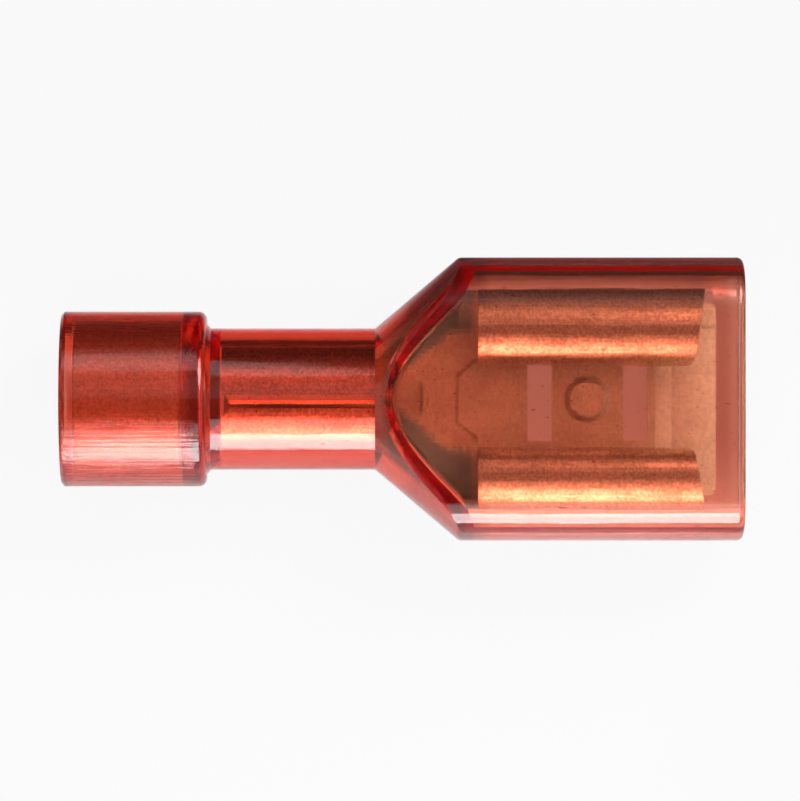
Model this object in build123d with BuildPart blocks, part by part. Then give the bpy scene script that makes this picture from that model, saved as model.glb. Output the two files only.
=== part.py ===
"""Fully insulated female spade terminal: a rolled brass receptacle in a clear red nylon housing.

The wire goes in at the -X end and the tab at the +X end. The curls of the receptacle face up, +Z.
The origin is under the middle of the terminal, on the surface that its collar lies on. Millimetres.
"""

import math
import os

from build123d import *

# Brass blank
sheet = 0.4
fit_clearance = 0.05

# Crimp barrel
barrel_bore = 2.7
barrel_length = 5.32
seam_width = 0.13
seam_angle = 7.0
seam_notch_width = 0.8
seam_notch_length = 0.3
barrel_lead_in = 0.15

# Channel between the barrel and the receptacle
channel_length = 2.65
apex_sweep = 12.0
neck_length = 0.65
shoulder_rise = 0.5
wall_rise = 1.2
ramp_length = 1.5
floor_step = 0.15
step_nose_width = 1.8
step_flare_width = 3.3
step_setback = 0.93
step_taper = 35.0

# Wire stop pressed up from the channel floor
stop_width = 1.4
stop_length = 0.5
stop_height = 0.35
stop_setback = 1.25
stop_taper = 15.0

# Receptacle for the tab
receptacle_width = 7.65
receptacle_height = 2.7
receptacle_drop = 0.1
curl_length = 7.65
left_curl_radius = 1.36
left_curl_sweep = 100.0
right_curl_radius = 0.85
right_curl_sweep = 150.0
lip_rake = 0.4
lip_corner_radius = 0.35
tongue_width = 6.5
tongue_length = 0.42
tongue_corner_radius = 0.3
lead_in_depth = 0.14
lead_in_ramp = 0.55
lead_in_length = 1.5

# Floor of the receptacle
slot_width = 0.85
slot_length = 2.84
slot_spacing = 3.24
slot_setback = 3.72
dimple_diameter = 1.6
dimple_height = 0.2
dimple_taper = 45.0

# Grip sleeve on the wire's insulation
sleeve_bore = 4.34
sleeve_wall = 0.25
sleeve_length = 3.6
sleeve_edge_chamfer = 0.06

# Nylon housing
entry_lip_length = 0.39
entry_lip_depth = 0.2
entry_chamfer = 0.18
guide_length = 1.32
collar_wall = 0.48
collar_shoulder = 0.8
collar_corner_radius = 0.27
collar_root_chamfer = 0.15
entry_edge_chamfer = 0.1
barrel_wall = 0.58
funnel_lead = 0.17
box_thickness = 5.2
box_wall = 0.4
side_room = 0.55
cavity_setback = 0.5
neck_radius = 0.3
crease_radius = 0.25
box_corner_radius = 1.45
mouth_overhang = 0.85
mouth_lead_in = 0.1
front_edge_radius = 0.2

# Sizes that follow
barrel_od = barrel_bore + 2 * sheet
barrel_pocket = barrel_od + 2 * fit_clearance
barrel_sleeve_od = barrel_pocket + 2 * barrel_wall
sleeve_od = sleeve_bore + 2 * sleeve_wall
collar_bore = sleeve_od + 2 * fit_clearance
collar_od = collar_bore + 2 * collar_wall
channel_height = receptacle_height + floor_step
cavity_width = receptacle_width + 2 * side_room
cavity_height = box_thickness - 2 * box_wall
box_width = cavity_width + 2 * box_wall
cavity_corner_radius = box_corner_radius - box_wall
roll_radius = receptacle_height / 2
roll_center = receptacle_width / 2 - roll_radius

# Stations along the axis, from the wire entry to the mouth
lengths = [
    entry_lip_length,
    sleeve_length + 2 * fit_clearance,
    guide_length,
    barrel_length,
    channel_length,
    neck_length,
    curl_length,
    tongue_length,
    mouth_overhang,
]
overall_length = sum(lengths)
entry_x = -overall_length / 2
pocket_x = entry_x + entry_lip_length
guide_x = pocket_x + sleeve_length + 2 * fit_clearance
barrel_x = guide_x + guide_length
channel_x = barrel_x + barrel_length
neck_x = channel_x + channel_length
curl_x = neck_x + neck_length
tongue_x = curl_x + curl_length
tongue_end_x = tongue_x + tongue_length
mouth_x = tongue_end_x + mouth_overhang
collar_end_x = guide_x + collar_shoulder
funnel_x = channel_x - funnel_lead
stop_x = channel_x + stop_setback
dimple_x = curl_x + slot_setback

# Heights
axis_z = max(collar_od, box_thickness) / 2
floor_z = axis_z - receptacle_drop - receptacle_height / 2
floor_top_z = floor_z + sheet
crest_z = floor_z + receptacle_height
channel_floor_z = floor_z - floor_step
wall_top_z = channel_floor_z + wall_rise
cut_margin = 1.0


def station(x):
    """Upright plane across the terminal, with its origin on the axis."""
    return Plane(origin=(x, 0, axis_z), x_dir=(0, 1, 0), z_dir=(1, 0, 0))


def level(z):
    """Flat plane at a height."""
    return Plane.XY.offset(z)


def round_section(diameter):
    """Circle drawn with four arcs, so that a loft joins it edge to edge to the channel's section."""
    sweeps = (apex_sweep, 180 - apex_sweep) * 2
    angle = 90 + apex_sweep / 2
    with BuildSketch() as outline:
        with BuildLine():
            for sweep in sweeps:
                CenterArc((0, 0), diameter / 2, angle, -sweep)
                angle -= sweep
        make_face()
    return outline.sketch


def channel_section(inset):
    """Section of the channel where it meets the receptacle, inset into the sheet."""
    radius = channel_height / 2 - inset
    flat = receptacle_width / 2 - channel_height / 2
    middle = -receptacle_drop - floor_step / 2
    with BuildSketch() as outline:
        with BuildLine():
            Line((-flat, middle + radius), (flat, middle + radius))
            CenterArc((flat, middle), radius, 90, -180)
            Line((flat, middle - radius), (-flat, middle - radius))
            CenterArc((-flat, middle), radius, -90, -180)
        make_face()
    return outline.sketch


def sheet_face(depth):
    """One face of the rolled sheet, at a depth below its outer face, from the right lip to the left lip."""
    floor = -receptacle_drop - receptacle_height / 2
    crest = floor + receptacle_height
    right_center = (-roll_center, crest - right_curl_radius)
    left_center = (roll_center, crest - left_curl_radius)
    with BuildLine() as face:
        CenterArc(right_center, right_curl_radius - depth, 90, -right_curl_sweep)
        CenterArc((-roll_center, floor + roll_radius), roll_radius - depth, 90, 180)
        Line((-roll_center, floor + depth), (roll_center, floor + depth))
        CenterArc((roll_center, floor + roll_radius), roll_radius - depth, -90, 180)
        CenterArc(left_center, left_curl_radius - depth, 90, left_curl_sweep)
    return face.line


def above_and_below(thickness):
    """Room above and below two flats that are a thickness apart, from the funnel to the mouth."""
    with BuildPart() as room:
        with BuildSketch(station(funnel_x)):
            with GridLocations(0, thickness + box_width, 1, 2):
                Rectangle(2 * box_width, box_width)
        extrude(amount=mouth_x - funnel_x)
    return room.part


def beyond_corners(width, thickness, radius):
    """Room beyond the four rounded corners between the flats and the round sides, from the funnel to the mouth."""
    up = thickness / 2 - radius
    across = math.sqrt((width / 2 - radius) ** 2 - up**2)
    side_angle = math.degrees(math.atan2(up, across))
    with BuildPart() as room:
        with BuildSketch(station(funnel_x)):
            with BuildLine():
                corner = CenterArc((across, up), radius, side_angle, 90 - side_angle)
                way_out = PolarLine(corner @ 0, cut_margin, side_angle)
                Polyline(
                    way_out @ 1,
                    (across + radius + cut_margin, thickness / 2 + cut_margin),
                    (across, thickness / 2 + cut_margin),
                    corner @ 1,
                )
            make_face()
            mirror(about=Plane.XZ)
            mirror(about=Plane.YZ)
        extrude(amount=mouth_x - funnel_x)
    return room.part


def creases(body):
    """Edges around the flats of a body, apart from those at its ends."""
    return body.faces().filter_by(Axis.Z).edges() - body.faces().filter_by(Axis.X).edges()


def rolled_section():
    """Section of the receptacle: flat floor and a curl on each side."""
    outer = sheet_face(0)
    inner = sheet_face(sheet)
    with BuildSketch() as section:
        with BuildLine():
            add(outer)
            add(inner)
            for end in (0, 1):
                Line(outer.wires()[0] @ end, inner.wires()[0] @ end)
        make_face()
    return section.sketch


# Brass terminal, one rolled blank
with BuildPart() as terminal:
    with BuildSketch(station(barrel_x)):
        Circle(barrel_od / 2)
        Circle(barrel_bore / 2, mode=Mode.SUBTRACT)
    extrude(amount=barrel_length)
    barrel_mouth = terminal.edges().group_by(Axis.X)[0].sort_by(SortBy.RADIUS)[0]
    chamfer(barrel_mouth, barrel_lead_in)

    # Channel that opens from the barrel to the receptacle's width
    with BuildSketch(station(channel_x)):
        add(round_section(barrel_od))
    with BuildSketch(station(neck_x)):
        add(channel_section(0))
    loft(ruled=True)
    with BuildSketch(station(neck_x)):
        add(channel_section(0))
    extrude(amount=neck_length)
    with BuildSketch(station(channel_x)):
        add(round_section(barrel_bore))
    with BuildSketch(station(neck_x)):
        add(channel_section(sheet))
    loft(ruled=True, mode=Mode.SUBTRACT)
    with BuildSketch(station(neck_x)):
        add(channel_section(sheet))
    extrude(amount=neck_length, mode=Mode.SUBTRACT)

    # Side walls of the channel, lowered in a ramp from the barrel
    with BuildSketch(Plane.XZ):
        with BuildLine():
            Polyline(
                (channel_x, crest_z + cut_margin),
                (channel_x, axis_z + shoulder_rise),
                (channel_x + ramp_length, wall_top_z),
                (curl_x, wall_top_z),
                (curl_x, crest_z + cut_margin),
                close=True,
            )
        make_face()
    extrude(amount=receptacle_width, both=True, mode=Mode.SUBTRACT)

    # Receptacle, its floor running on as a tongue
    with BuildSketch(station(curl_x)):
        add(rolled_section())
    extrude(amount=curl_length)
    with BuildSketch(level(floor_z)):
        with Locations((tongue_x, 0)):
            RectangleRounded(2 * tongue_length, tongue_width, tongue_corner_radius)
    extrude(amount=sheet)

    # Step up from the channel floor to the receptacle floor, hollow below
    with BuildSketch(level(floor_z)) as step:
        with BuildLine():
            Polyline(
                (curl_x - step_setback, -step_nose_width / 2),
                (curl_x, -step_flare_width / 2),
                (curl_x + slot_width, -step_flare_width / 2),
                (curl_x + slot_width, step_flare_width / 2),
                (curl_x, step_flare_width / 2),
                (curl_x - step_setback, step_nose_width / 2),
                close=True,
            )
        make_face()
    extrude(amount=sheet, taper=step_taper)
    with BuildSketch(level(floor_z)):
        offset(step.sketch, amount=-sheet)
    extrude(amount=-floor_step - sheet, mode=Mode.SUBTRACT)

    # Wire stop, flat towards the barrel
    with BuildSketch(level(channel_floor_z)):
        with BuildLine():
            ThreePointArc(
                (stop_x, -stop_width / 2), (stop_x + stop_length, 0), (stop_x, stop_width / 2)
            )
            Line((stop_x, stop_width / 2), (stop_x, -stop_width / 2))
        make_face()
    extrude(amount=sheet + stop_height, taper=stop_taper)

    # Rake and rounded corner at the front of each curl
    for side, radius in ((1, left_curl_radius), (-1, right_curl_radius)):
        lip_y = side * (roll_center - radius)
        with BuildSketch(level(floor_top_z)):
            with BuildLine():
                FilletPolyline(
                    (tongue_x, side * receptacle_width / 2),
                    (tongue_x - lip_rake, lip_y),
                    (tongue_x - lip_rake - cut_margin, lip_y),
                    radius=lip_corner_radius,
                )
                Polyline(
                    (tongue_x - lip_rake - cut_margin, lip_y),
                    (tongue_x - lip_rake - cut_margin, 0),
                    (tongue_x + cut_margin, 0),
                    (tongue_x + cut_margin, side * receptacle_width / 2),
                    (tongue_x, side * receptacle_width / 2),
                )
            make_face()
        extrude(amount=receptacle_height, mode=Mode.SUBTRACT)

    # Coined lead-in at the front of the floor
    with BuildSketch(Plane.XZ):
        with BuildLine():
            Polyline(
                (tongue_end_x - lead_in_length - lead_in_ramp, floor_top_z),
                (tongue_end_x - lead_in_length, floor_top_z - lead_in_depth),
                (tongue_end_x, floor_top_z - lead_in_depth),
                (tongue_end_x, floor_top_z),
                close=True,
            )
        make_face()
    extrude(amount=roll_center, both=True, mode=Mode.SUBTRACT)

    # Two slots, with the detent dimple on the bridge between them
    with BuildSketch(level(floor_z)):
        with Locations((dimple_x, 0)):
            with GridLocations(slot_spacing, 0, 2, 1):
                Rectangle(slot_width, slot_length)
    extrude(amount=sheet, mode=Mode.SUBTRACT)
    with BuildSketch(level(floor_top_z)):
        with Locations((dimple_x, 0)):
            Circle(dimple_diameter / 2)
    extrude(amount=dimple_height, taper=dimple_taper)
    with BuildSketch(level(floor_z)):
        with Locations((dimple_x, 0)):
            Circle(dimple_diameter / 2)
    extrude(amount=dimple_height, taper=dimple_taper, mode=Mode.SUBTRACT)

    # Butt seam of the barrel, notched where the wire goes in
    seam_plane = Plane(origin=(0, 0, axis_z), x_dir=(1, 0, 0), z_dir=(0, 0, 1)).rotated((seam_angle, 0, 0))
    with BuildSketch(seam_plane):
        with BuildLine():
            Polyline(
                (barrel_x, seam_notch_width / 2),
                (barrel_x + seam_notch_length, seam_width / 2),
                (channel_x, seam_width / 2),
                (channel_x, -seam_width / 2),
                (barrel_x + seam_notch_length, -seam_width / 2),
                (barrel_x, -seam_notch_width / 2),
                close=True,
            )
        make_face()
    extrude(amount=barrel_od, mode=Mode.SUBTRACT)
terminal.part.label = "brass_terminal"


# Grip sleeve inside the collar
with BuildPart() as sleeve:
    with BuildSketch(station(pocket_x + fit_clearance)):
        Circle(sleeve_od / 2)
        Circle(sleeve_bore / 2, mode=Mode.SUBTRACT)
    extrude(amount=sleeve_length)
    chamfer(sleeve.edges().filter_by(GeomType.CIRCLE), sleeve_edge_chamfer)
sleeve.part.label = "grip_sleeve"


# Space for the channel and the receptacle inside the nylon
with BuildPart() as cavity:
    with BuildSketch(Plane.XZ):
        with BuildLine():
            Polyline(
                (channel_x, axis_z),
                (channel_x, axis_z + barrel_pocket / 2),
                (neck_x + cavity_setback, axis_z + cavity_width / 2),
                (mouth_x, axis_z + cavity_width / 2),
                (mouth_x, axis_z),
                close=True,
            )
        make_face()
    revolve(axis=Axis((0, 0, axis_z), (1, 0, 0)))
    add(above_and_below(cavity_height), mode=Mode.SUBTRACT)
    fillet(creases(cavity), crease_radius)
    add(beyond_corners(cavity_width, cavity_height, cavity_corner_radius), mode=Mode.SUBTRACT)


# Nylon housing, round all along, with two flats from the funnel to the mouth
with BuildPart() as housing:
    entry_corner = (entry_x, axis_z + collar_od / 2, 0)
    collar_corner = (collar_end_x, axis_z + collar_od / 2, 0)
    collar_root = (collar_end_x, axis_z + barrel_sleeve_od / 2, 0)
    neck_corner = (neck_x, axis_z + box_width / 2, 0)
    with BuildSketch(Plane.XZ):
        with BuildLine():
            Polyline(
                (entry_x, axis_z),
                (entry_x, axis_z + collar_od / 2),
                (collar_end_x, axis_z + collar_od / 2),
                (collar_end_x, axis_z + barrel_sleeve_od / 2),
                (funnel_x, axis_z + barrel_sleeve_od / 2),
                (neck_x, axis_z + box_width / 2),
                (mouth_x, axis_z + box_width / 2),
                (mouth_x, axis_z),
                close=True,
            )
        make_face()
        chamfer(vertices().sort_by_distance(entry_corner)[:1], entry_edge_chamfer)
        chamfer(vertices().sort_by_distance(collar_root)[:1], collar_root_chamfer)
        fillet(vertices().sort_by_distance(collar_corner)[:1], collar_corner_radius)
        fillet(vertices().sort_by_distance(neck_corner)[:1], neck_radius)
    revolve(axis=Axis((0, 0, axis_z), (1, 0, 0)))
    add(above_and_below(box_thickness), mode=Mode.SUBTRACT)
    fillet(creases(housing), crease_radius)
    add(beyond_corners(box_width, box_thickness, box_corner_radius), mode=Mode.SUBTRACT)
    fillet(housing.faces().sort_by(Axis.X)[-1].edges(), front_edge_radius)

    # Bores from the wire entry to the barrel
    with BuildSketch(station(entry_x)):
        Circle(collar_bore / 2 - entry_lip_depth)
    extrude(amount=entry_lip_length, mode=Mode.SUBTRACT)
    entry_edge = housing.edges().filter_by(GeomType.CIRCLE).group_by(Axis.X)[0].sort_by(SortBy.RADIUS)[0]
    chamfer(entry_edge, entry_chamfer)
    with BuildSketch(station(pocket_x)):
        Circle(collar_bore / 2)
    extrude(amount=guide_x - pocket_x, mode=Mode.SUBTRACT)
    with BuildSketch(station(guide_x)):
        Circle(sleeve_bore / 2)
    with BuildSketch(station(barrel_x - fit_clearance)):
        Circle(barrel_bore / 2)
    loft(ruled=True, mode=Mode.SUBTRACT)
    with BuildSketch(station(barrel_x - fit_clearance)):
        Circle(barrel_pocket / 2)
    extrude(amount=barrel_length + fit_clearance, mode=Mode.SUBTRACT)

    # Open mouth, eased at its inner edge
    add(cavity.part, mode=Mode.SUBTRACT)
    mouth_face = housing.faces().sort_by(Axis.X)[-1]
    chamfer(mouth_face.inner_wires()[0].edges(), mouth_lead_in)
housing.part.label = "insulating_housing"


os.makedirs("parts", exist_ok=True)
for piece in (housing.part, terminal.part, sleeve.part):
    export_step(piece, f"parts/{piece.label}.step")
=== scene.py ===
"""Looks of a fully insulated female spade terminal: red nylon over brass, seen from above on a pale table."""

import math

import bpy
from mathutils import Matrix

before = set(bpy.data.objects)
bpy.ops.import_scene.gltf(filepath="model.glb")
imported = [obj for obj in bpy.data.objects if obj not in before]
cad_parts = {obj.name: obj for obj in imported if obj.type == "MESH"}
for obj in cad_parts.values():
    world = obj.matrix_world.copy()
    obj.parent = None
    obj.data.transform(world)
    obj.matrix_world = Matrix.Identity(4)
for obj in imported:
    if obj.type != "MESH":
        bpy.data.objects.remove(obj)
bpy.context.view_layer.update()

MM = 0.001

# Camera straight above the terminal, far off with a long lens
CAMERA_PLACE = (-0.076 * MM, -0.051 * MM, 239.45 * MM)
CAMERA_LENS = 315.0
SENSOR_WIDTH = 36.0
CAMERA_CLIP = 10 * MM

# Height of the barrel's axis above the table
AXIS_HEIGHT = 2.95 * MM

# Table near the terminal, and the share of its glow that each kind of ray meets, with painted light on the
# lamp's side for rays through the nylon
TABLE_SIZE = 2.0
TABLE_WHITE = 0.935
TABLE_GLOW = 0.955
SEEN_SHARE = 0.95
MIRRORED_SHARE = 0.3
THROUGH_SHARE = 0.14
THROUGH_PAINTED_LIGHT_SHARE = 0.45
THROUGH_START = -1.5 * MM
THROUGH_END = -3.5 * MM

# Painted shade on the table behind the terminal and at its mouth, dark to all rays but the camera's
FAR_TABLE_SHADE = 0.1
FAR_GLOW = 0.995
SHADE_START = 3.4 * MM
SHADE_END = 5.6 * MM
MOUTH_SHADE_START = 8 * MM
MOUTH_SHADE_END = 11 * MM
MOUTH_SHARE = 0.6

# Table away from the terminal, greyed by painted shade
EDGE_TABLE = 0.4
EDGE_GLOW = 0.8
EDGE_START = 19 * MM
EDGE_END = 40 * MM

# Room, dim behind the terminal and overhead
ROOM_LIGHT = 0.58
ROOM_WHITE = (1.0, 1.0, 1.0)
FAR_LIGHT = 0.1
FAR_START = 0.2
FAR_FULL = 0.7
OVERHEAD_LIGHT = 0.08
OVERHEAD_AXIS = (0.0, -0.34, 0.94)
OVERHEAD_START = 0.82
OVERHEAD_FULL = 0.95
LIGHT_BOUNCES = 32

# Lamps, turned from the near side and raised from the table by degrees
LAMP_WIDTH = 32 * MM
LAMP_DISTANCE = 70 * MM
NEAR_TURN = 0.0
SOFTBOX_HEIGHT = 38 * MM
SOFTBOX_RISE = 18.0
SOFTBOX_GLOW = 11.0
FILL_HEIGHT = 40 * MM
FILL_RISE = 43.0
FILL_GLOW = 2.4
END_HEIGHT = 40 * MM
END_TURN = 132.0
END_RISE = 45.0
END_GLOW = 8.5
BACK_HEIGHT = 30 * MM
BACK_TURN = 200.0
BACK_RISE = 42.0
BACK_GLOW = 1.4

# Black card on the far side
FLAG_PLACE = 15 * MM
FLAG_HEIGHT = 10 * MM
FLAG_WIDTH = 120 * MM
FLAG_BLACK = 0.06

# Detail of the noises
PLAIN_DETAIL = 2.0
FINE_DETAIL = 3.0
PATCH_DETAIL = 4.0

# Red nylon: its body, and the tint of its surface
NYLON_IOR = 1.53
NYLON_DENSITY = 2100.0
NYLON_CLEAR = (0.965, 0.26, 0.0)
NYLON_DEEP = (1.0, 0.78, 0.78)
NYLON_PALE = (1.0, 1.0, 1.0)
# Painted shade that darkens the funnel's flanks
NYLON_FLANK_SHADE = (0.64, 0.42, 0.42)
NYLON_DIRT = (0.55, 0.16, 0.12)
NYLON_CLOUD = 0.25
CLOUD_GRAIN = (3.0, 3.0, 3.0)

# Parts of the housing that the tint follows: collar, funnel, box and the flats, which lead ahead of the box
COLLAR_END = -6.8 * MM
COLLAR_BLUR = 0.3 * MM
FUNNEL_START = -0.1 * MM
FUNNEL_END = 3.0 * MM
FUNNEL_BLUR = 0.4 * MM
DEEP_END = 2.0 * MM
PALE_START = 4.0 * MM
FLAT_START = 1.6 * MM
FLAT_FULL = 2.1 * MM
FLAT_LEAD = 3.5 * MM

# Scores along the collar's near side, and dirt specks that are thicker on the near side
SIDE_BLUR = 0.6 * MM
SCORE_SIDE = -0.4 * MM
SCORE_SHARE = 0.6
SCORE_START = 0.46
SCORE_FULL = 0.38
DIRT_SIDE = -1.6 * MM
DIRT_MORE = 0.08
DIRT_START = 0.7
DIRT_FULL = 0.75
DIRT_GRAIN = (0.25, 0.12, 0.12)

# Relief and gloss of the nylon
WAVE_GRAIN = (1.6, 0.5, 0.5)
WAVE_LOW = 0.3
WAVE_HIGH = 0.7
STREAK_GRAIN = (4.0, 0.1, 0.1)
STREAK_RELIEF = 0.6
COLLAR_RELIEF = 1.0
SCORE_RELIEF = 3.0
RING_GRAIN = (0.1, 3.0, 3.0)
RING_RELIEF = 0.5
NYLON_SMOOTH = 0.05
NYLON_ROUGH = 0.11
DIRT_ROUGH = 0.15
NYLON_DEPTH = 0.02 * MM
NYLON_BUMP = 0.3

# Brass of the terminal and of the sleeve
BRASS_BRIGHT = (0.94, 0.82, 0.62)
BRASS_DULL = (0.60, 0.48, 0.33)
BRASS_ROUGH = 0.40
SLEEVE_BRIGHT = (0.92, 0.66, 0.42)
SLEEVE_DULL = (0.70, 0.50, 0.31)
SLEEVE_ROUGH = 0.55
LINE_GRAIN = (4.0, 0.06, 0.06)
BRASS_GRAIN = (0.1, 0.1, 0.1)
PATCH_GRAIN = (1.2, 0.8, 0.8)
BRASS_DEPTH = 0.01 * MM
BRASS_BUMP = 0.6

# Wear, which dulls the brass, and the matt floor, which has less of it
PATCH_WEAR = 0.5
LINE_WEAR = 0.3
WEAR_START = 0.75
WEAR_FULL = 1.05
WEAR_ROUGH = 0.05
FLOOR_TOP = 1.9 * MM
FLOOR_BLUR = 0.6 * MM
FLOOR_CLEAN = 0.5
FLOOR_ROUGH = 0.3

# Burr along the barrel's seam, real relief with a painted highlight in its bright, unworn tone
BURR_AND_HIGHLIGHT_START = -5.95 * MM
BURR_AND_HIGHLIGHT_END = -0.3 * MM
BURR_AND_HIGHLIGHT_SIDE = -0.02 * MM
BURR_AND_HIGHLIGHT_WIDTH = 0.14 * MM
BURR_RISE = 12.0
BURR_ROUGH = 0.12
BARREL_TOP = AXIS_HEIGHT + 1.0 * MM

# Painted shade on the bends between the barrel and the curls, where the rolled curls open
BRASS_BEND_SHADE = (0.28, 0.42, 0.40)
BEND_SHADE_SHARE = 0.9
BEND_SHADE_START = -0.2 * MM
BEND_SHADE_FULL = 1.6 * MM
BEND_SHADE_END = 2.6 * MM
BEND_SHADE_NARROW = 0.35 * MM
BEND_SHADE_WIDE = 1.85 * MM
BEND_SHADE_SHIFT = 0.25 * MM
BEND_SHADE_BLUR = 0.35 * MM


class Socket:
    """Output of a shader node. Arithmetic on it adds Math nodes to the same tree."""

    def __init__(self, graph, output):
        self.graph = graph
        self.output = output

    def math(self, operation, *values):
        return self.graph.node("ShaderNodeMath", {"operation": operation}, dict(enumerate(values)))

    def __add__(self, other):
        return self.math("ADD", self, other)

    def __radd__(self, other):
        return self.math("ADD", other, self)

    def __sub__(self, other):
        return self.math("SUBTRACT", self, other)

    def __rsub__(self, other):
        return self.math("SUBTRACT", other, self)

    def __mul__(self, other):
        return self.math("MULTIPLY", self, other)

    def __rmul__(self, other):
        return self.math("MULTIPLY", other, self)

    def __abs__(self):
        return self.math("ABSOLUTE", self)


class Graph:
    """Node tree of one material or of the world."""

    def __init__(self, owner):
        owner.use_nodes = True
        self.tree = owner.node_tree
        self.tree.nodes.clear()

    def node(self, kind, settings, sockets, output=0):
        """Adds a node, sets it up, feeds its sockets with values or links and gives one of its outputs."""
        made = self.tree.nodes.new(kind)
        for name, value in settings.items():
            setattr(made, name, value)
        for name, value in sockets.items():
            if isinstance(value, Socket):
                self.tree.links.new(value.output, made.inputs[name])
            else:
                made.inputs[name].default_value = value
        return Socket(self, made.outputs[output] if made.outputs else None)

    def place(self):
        """Object coordinates, in metres."""
        return self.node("ShaderNodeTexCoord", {}, {}, "Object")

    def coordinate(self, axis):
        """Object coordinate along one axis, in metres."""
        return self.node("ShaderNodeSeparateXYZ", {}, {"Vector": self.place()}, axis)

    def noise(self, grain, detail=PLAIN_DETAIL):
        """Noise from 0 to 1 whose grains have that size in millimetres along each axis."""
        scale = tuple(1 / (MM * size) for size in grain)
        stretched = self.node("ShaderNodeMapping", {}, {"Vector": self.place(), "Scale": scale})
        sockets = {"Vector": stretched, "Scale": 1.0, "Detail": detail}
        return self.node("ShaderNodeTexNoise", {}, sockets, "Fac")

    def range(self, value, low, high, start=0.0, end=1.0):
        """Value from low to high, spread over start to end and held there."""
        sockets = {"Value": value, "From Min": low, "From Max": high, "To Min": start, "To Max": end}
        return self.node("ShaderNodeMapRange", {}, sockets)

    def band(self, value, low, high, blur):
        """1 where the value is between low and high, fading to 0 over the blur inside each end."""
        return self.range(value, low, low + blur) * self.range(value, high, high - blur)

    def mix(self, share, first, second):
        """Colour between two colours."""
        settings = {"data_type": "RGBA"}
        sockets = {0: share, 6: rgba(first), 7: rgba(second)}
        return self.node("ShaderNodeMix", settings, sockets, 2)

    def bump(self, height, depth, strength):
        """Normal of a surface with that height on it."""
        sockets = {"Height": height, "Distance": depth, "Strength": strength}
        return self.node("ShaderNodeBump", {}, sockets)


def rgba(color):
    """Colour with full alpha, or a socket as it is."""
    return color if isinstance(color, Socket) else (*color, 1.0)


def grey(level):
    """Grey of one level."""
    return (level, level, level)


def red_nylon():
    """Clear red nylon, deeper over collar and barrel, with painted shade on the funnel's flanks, scored and
    specked.
    """
    material = bpy.data.materials.new("red_nylon")
    graph = Graph(material)
    along = graph.coordinate("X")
    across = graph.coordinate("Y")
    height = graph.coordinate("Z") - AXIS_HEIGHT
    collar = graph.range(along, COLLAR_END, COLLAR_END - COLLAR_BLUR)
    flat = graph.range(abs(height), FLAT_START, FLAT_FULL)
    box = graph.range(along + FLAT_LEAD * flat, DEEP_END, PALE_START)
    flank_shade = graph.band(along, FUNNEL_START, FUNNEL_END, FUNNEL_BLUR) * (1 - flat)
    dirty = graph.range(across, DIRT_SIDE, DIRT_SIDE - SIDE_BLUR) * (1 - flat)
    scored = collar * graph.range(across, SCORE_SIDE, SCORE_SIDE - SIDE_BLUR)
    cloud = graph.noise(CLOUD_GRAIN)
    waves = graph.noise(WAVE_GRAIN)
    streaks = graph.noise(STREAK_GRAIN, FINE_DETAIL)
    rings = graph.noise(RING_GRAIN)
    dirt = graph.range(graph.noise(DIRT_GRAIN) + DIRT_MORE * dirty, DIRT_START, DIRT_FULL)
    scores = SCORE_SHARE * scored * graph.range(streaks, SCORE_START, SCORE_FULL)
    tint = graph.mix(box - NYLON_CLOUD * cloud, NYLON_DEEP, NYLON_PALE)
    # Painted shade on the funnel's flanks
    tint = graph.mix(flank_shade, tint, NYLON_FLANK_SHADE)
    tint = graph.mix(scores, tint, NYLON_DIRT)
    streak_relief = STREAK_RELIEF + COLLAR_RELIEF * collar + SCORE_RELIEF * scored
    relief = waves + streak_relief * streaks + RING_RELIEF * (1 - box) * rings
    gloss = graph.range(waves, WAVE_LOW, WAVE_HIGH, NYLON_SMOOTH, NYLON_ROUGH)
    skin = graph.node("ShaderNodeBsdfPrincipled", {}, {
        "Base Color": graph.mix(dirt, tint, NYLON_DIRT),
        "Roughness": gloss + DIRT_ROUGH * dirt,
        "IOR": NYLON_IOR,
        "Transmission Weight": 1.0,
        "Normal": graph.bump(relief, NYLON_DEPTH, NYLON_BUMP),
    })
    body = graph.node("ShaderNodeVolumeAbsorption", {}, {
        "Color": rgba(NYLON_CLEAR),
        "Density": NYLON_DENSITY,
    })
    graph.node("ShaderNodeOutputMaterial", {}, {"Surface": skin, "Volume": body})
    return material


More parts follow.
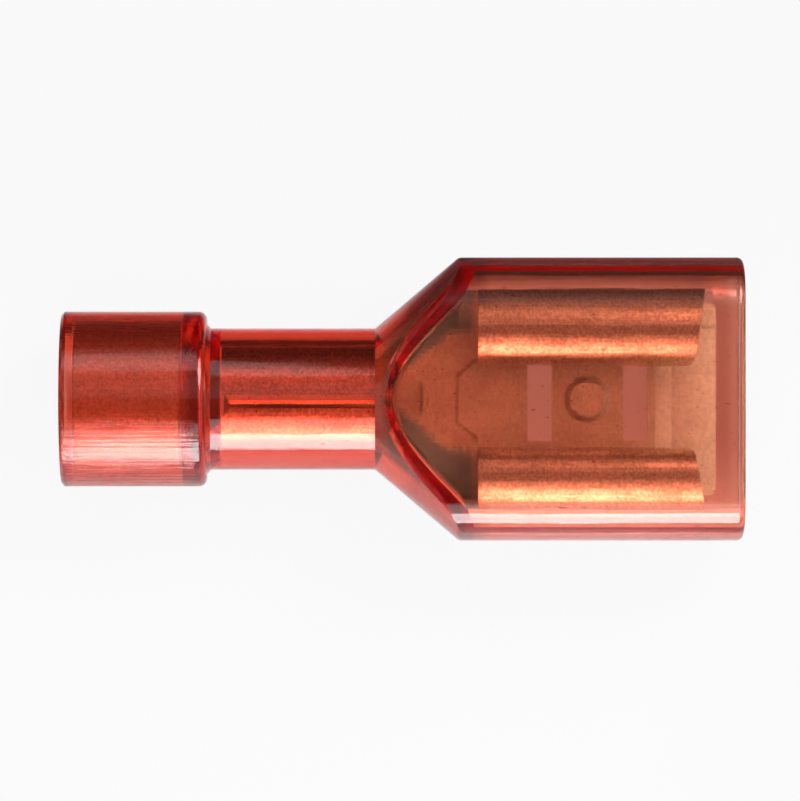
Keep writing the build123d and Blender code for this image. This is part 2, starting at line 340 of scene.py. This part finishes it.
def rolled_brass(name, bright, dull, roughness):
    """Brass with rolling lines, grain and wear, a matt floor, a burr with a painted highlight on its seam,
    and painted shade on its bends.
    """
    material = bpy.data.materials.new(name)
    graph = Graph(material)
    along = graph.coordinate("X")
    across = graph.coordinate("Y")
    height = graph.coordinate("Z")
    lines = graph.noise(LINE_GRAIN)
    grain = graph.noise(BRASS_GRAIN, FINE_DETAIL)
    patches = graph.noise(PATCH_GRAIN, PATCH_DETAIL)
    floor = graph.range(height, FLOOR_TOP + FLOOR_BLUR, FLOOR_TOP)
    ridge = graph.range(abs(across - BURR_AND_HIGHLIGHT_SIDE), BURR_AND_HIGHLIGHT_WIDTH, 0.0)
    upper = graph.range(height, AXIS_HEIGHT, BARREL_TOP)
    burr_and_highlight = ridge * upper * graph.band(along, BURR_AND_HIGHLIGHT_START, BURR_AND_HIGHLIGHT_END, BURR_AND_HIGHLIGHT_WIDTH)
    wear = graph.range(PATCH_WEAR * patches + LINE_WEAR * lines + grain, WEAR_START, WEAR_FULL)
    # Painted highlight: the burr keeps the bright, unworn tone
    worn = wear * (1 - FLOOR_CLEAN * floor) * (1 - burr_and_highlight)
    # Painted shade: grey-green on the bends where the curls open, with a noisy edge
    off_axis = abs(across - BEND_SHADE_SHIFT) + BEND_SHADE_BLUR * (patches + grain - 1)
    edge = graph.range(along, BEND_SHADE_START, BEND_SHADE_FULL, BEND_SHADE_NARROW, BEND_SHADE_WIDE)
    beside = graph.range(off_axis - edge, 0.0, BEND_SHADE_BLUR)
    bend_shade = beside * graph.band(along, BEND_SHADE_START - BEND_SHADE_BLUR, BEND_SHADE_END, BEND_SHADE_BLUR)
    tone = graph.mix(worn, bright, dull)
    gloss = graph.range(worn, 0.0, 1.0, roughness - WEAR_ROUGH, roughness + WEAR_ROUGH)
    metal = graph.node("ShaderNodeBsdfPrincipled", {}, {
        "Base Color": graph.mix(BEND_SHADE_SHARE * bend_shade, tone, BRASS_BEND_SHADE),
        "Metallic": 1.0,
        "Roughness": gloss + FLOOR_ROUGH * floor + BURR_ROUGH * burr_and_highlight,
        "Normal": graph.bump(lines + grain + BURR_RISE * burr_and_highlight, BRASS_DEPTH, BRASS_BUMP),
    })
    graph.node("ShaderNodeOutputMaterial", {}, {"Surface": metal})
    return material


def dress(node, material):
    """Gives a CAD node its finish."""
    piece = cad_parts[node]
    piece.data.materials.clear()
    piece.data.materials.append(material)


def lay_table():
    """White table that glows to the camera, less to other rays, and keeps a faint share of the shadow.
    Painted shade darkens it behind the terminal, at its mouth and away from it; painted light brightens it on
    the lamp's side for rays through the nylon.
    """
    bpy.ops.object.select_all(action="DESELECT")
    bpy.ops.mesh.primitive_plane_add(size=TABLE_SIZE)
    table = bpy.context.object
    table.name = "table"
    material = bpy.data.materials.new("table_white")
    graph = Graph(material)
    along = graph.coordinate("X")
    across = graph.coordinate("Y")
    # Painted shade on the table behind the terminal and at its mouth
    inside = graph.range(along, MOUTH_SHADE_START, MOUTH_SHADE_END, 1.0, MOUTH_SHARE)
    near = inside * graph.range(across, SHADE_START, SHADE_END, 1.0, 0.0)
    reach = graph.node("ShaderNodeVectorMath", {"operation": "LENGTH"}, {0: graph.place()}, "Value")
    # Painted shade: the table greys away from the terminal
    edge = graph.range(reach, EDGE_START, EDGE_END)
    paint = graph.mix(near, grey(FAR_TABLE_SHADE), grey(TABLE_WHITE))
    lit = graph.node("ShaderNodeBsdfDiffuse", {}, {"Color": graph.mix(edge, paint, grey(EDGE_TABLE))})
    bright = graph.mix(near, grey(FAR_GLOW), grey(TABLE_GLOW))
    glow = graph.node("ShaderNodeEmission", {}, {"Color": graph.mix(edge, bright, grey(EDGE_GLOW))})
    seen = graph.node("ShaderNodeLightPath", {}, {}, "Is Camera Ray")
    mirrored = graph.node("ShaderNodeLightPath", {}, {}, "Is Glossy Ray")
    through = graph.node("ShaderNodeLightPath", {}, {}, "Is Transmission Ray")
    # A ray that has passed the nylon counts as glossy too, so it meets the sum of both shares. On the lamp's
    # side its share grows, a painted light.
    passing = graph.range(across, THROUGH_START, THROUGH_END, THROUGH_SHARE, THROUGH_PAINTED_LIGHT_SHARE)
    share = SEEN_SHARE * seen + near * (MIRRORED_SHARE * mirrored + passing * through)
    surface = graph.node("ShaderNodeMixShader", {}, {0: share, 1: lit, 2: glow})
    graph.node("ShaderNodeOutputMaterial", {}, {"Surface": surface})
    table.data.materials.append(material)


def stand_flag():
    """Low black card on the far side, out of the camera's sight, that keeps that side of the nylon dark."""
    bpy.ops.object.select_all(action="DESELECT")
    bpy.ops.mesh.primitive_plane_add(size=1.0)
    flag = bpy.context.object
    flag.name = "flag"
    flag.scale = (FLAG_WIDTH, FLAG_HEIGHT, 1)
    flag.rotation_euler = (math.pi / 2, 0, 0)
    flag.location = (0, FLAG_PLACE, FLAG_HEIGHT / 2)
    bpy.ops.object.transform_apply()
    flag.visible_camera = False
    material = bpy.data.materials.new("flag_black")
    graph = Graph(material)
    black = graph.node("ShaderNodeBsdfDiffuse", {}, {"Color": rgba(grey(FLAG_BLACK))})
    graph.node("ShaderNodeOutputMaterial", {}, {"Surface": black})
    flag.data.materials.append(material)


def light_room():
    """Room, dim behind the terminal and dim overhead, which draws the dark lines on the brass's crests."""
    world = bpy.data.worlds.new("room")
    bpy.context.scene.world = world
    graph = Graph(world)
    direction = graph.node("ShaderNodeTexCoord", {}, {}, "Generated")
    far = graph.node("ShaderNodeSeparateXYZ", {}, {"Vector": direction}, "Y")
    settings = {"operation": "DOT_PRODUCT"}
    up = graph.node("ShaderNodeVectorMath", settings, {0: direction, 1: OVERHEAD_AXIS}, "Value")
    around = graph.range(far, FAR_START, FAR_FULL, ROOM_LIGHT, FAR_LIGHT)
    overhead = graph.range(up, OVERHEAD_START, OVERHEAD_FULL)
    strength = around - overhead * (around - OVERHEAD_LIGHT)
    glow = graph.node("ShaderNodeBackground", {}, {"Color": rgba(ROOM_WHITE), "Strength": strength})
    graph.node("ShaderNodeOutputWorld", {}, {"Surface": glow})


def hang_lamp(name, turn, rise, height, glow):
    """Flat lamp, turned about the terminal from its near side, raised by an angle and faced to it."""
    around = math.radians(turn)
    up = math.radians(rise)
    lamp = bpy.data.lights.new(name, "AREA")
    lamp.shape = "RECTANGLE"
    lamp.size = LAMP_WIDTH
    lamp.size_y = height
    lamp.energy = glow * math.pi * LAMP_WIDTH * height
    holder = bpy.data.objects.new(name, lamp)
    reach = LAMP_DISTANCE * math.cos(up)
    holder.location = (reach * math.sin(around), -reach * math.cos(around), LAMP_DISTANCE * math.sin(up))
    holder.rotation_euler = (math.pi / 2 - up, 0, around)
    bpy.context.collection.objects.link(holder)


def aim_camera():
    """Camera that looks straight down."""
    camera = bpy.data.cameras.new("camera")
    camera.lens = CAMERA_LENS
    camera.sensor_width = SENSOR_WIDTH
    camera.clip_start = CAMERA_CLIP
    holder = bpy.data.objects.new("camera", camera)
    holder.location = CAMERA_PLACE
    bpy.context.collection.objects.link(holder)
    bpy.context.scene.camera = holder


dress("insulating_housing", red_nylon())
dress("brass_terminal", rolled_brass("terminal_brass", BRASS_BRIGHT, BRASS_DULL, BRASS_ROUGH))
dress("grip_sleeve", rolled_brass("sleeve_brass", SLEEVE_BRIGHT, SLEEVE_DULL, SLEEVE_ROUGH))
lay_table()
stand_flag()
light_room()
hang_lamp("softbox", NEAR_TURN, SOFTBOX_RISE, SOFTBOX_HEIGHT, SOFTBOX_GLOW)
hang_lamp("fill", NEAR_TURN, FILL_RISE, FILL_HEIGHT, FILL_GLOW)
hang_lamp("mouth_end", END_TURN, END_RISE, END_HEIGHT, END_GLOW)
hang_lamp("back", BACK_TURN, BACK_RISE, BACK_HEIGHT, BACK_GLOW)
aim_camera()
bpy.context.scene.view_settings.view_transform = "Standard"
bpy.context.scene.cycles.max_bounces = LIGHT_BOUNCES
bpy.context.scene.cycles.transmission_bounces = LIGHT_BOUNCES
bpy.context.scene.cycles.glossy_bounces = LIGHT_BOUNCES
